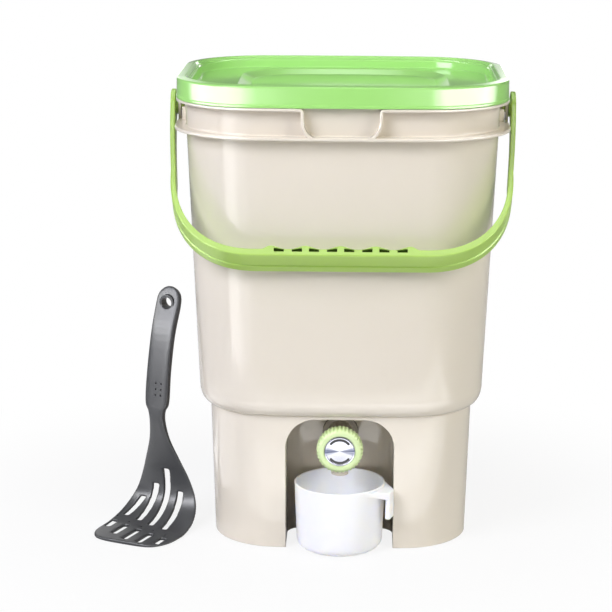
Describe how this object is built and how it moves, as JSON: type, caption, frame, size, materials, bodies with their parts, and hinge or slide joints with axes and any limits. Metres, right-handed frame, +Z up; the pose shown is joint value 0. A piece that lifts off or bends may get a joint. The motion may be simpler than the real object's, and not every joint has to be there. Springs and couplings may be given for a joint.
{
  "type": "kitchen compost bin",
  "caption": "Lidded kitchen compost bin with a swinging carry handle, a strainer, a drain tap over a drip cup in a front alcove, and a slotted masher.",
  "frame": {"origin": "middle of the base of the bin, cup and masher taken together, on the worktop", "axes": "+Z up, -Y towards the front with the tap, +X to the right as seen from the front"},
  "size_m": [0.3922, 0.2668, 0.435],
  "materials": {
    "bucket": "smooth semi-gloss beige",
    "lid": "glossy light green",
    "handle": "semi-gloss lime green",
    "knob": "satin lime green",
    "disc": "turned bright metal",
    "screw": "plain steel",
    "fitting": "moulded light grey",
    "plug": "moulded white",
    "seal": "soft matt rubber",
    "cup": "smooth white",
    "masher": "satin dark grey nylon"
  },
  "bodies": {
    "bin": {"bin_body": "bucket", "tap_body": "fitting", "tap_outer_washer": "seal", "tap_inner_washer": "seal", "tap_lock_nut": "fitting"},
    "lid": {"lid": "lid", "lid_seal": "seal"},
    "handle": {"carry_handle": "handle"},
    "valve": {"tap_knob": "knob", "tap_disc": "disc", "knob_screw": "screw", "tap_plug": "plug", "plug_seal": "seal"},
    "strainer": {"strainer": "fitting"},
    "cup": {"drip_cup": "cup"},
    "masher": {"masher": "masher"}
  },
  "joints": [
    {"name": "handle_swing", "type": "hinge", "parent": "bin", "child": "handle", "pos_m": [0.03633, 0.00548, 0.4015], "axis": [-1, 0, 0], "range_deg": [0, 266]},
    {"name": "lid_lift", "type": "slide", "parent": "bin", "child": "lid", "axis": [0, 0, 1], "range_m": [0, 0.12]},
    {"name": "strainer_lift", "type": "slide", "parent": "bin", "child": "strainer", "axis": [0, 0, 1], "range_m": [0, 0.24]},
    {"name": "tap_turn", "type": "hinge", "parent": "bin", "child": "valve", "pos_m": [0.03633, -0.07452, 0.096], "axis": [0, 1, 0], "range_deg": [0, 90]},
    {"name": "cup_pull", "type": "slide", "parent": "bin", "child": "cup", "axis": [0, -1, 0], "range_m": [0, 0.15]},
    {"name": "masher_move", "type": "slide", "parent": "bin", "child": "masher", "axis": [-1, 0, 0], "range_m": [0, 0.15]}
  ]
}
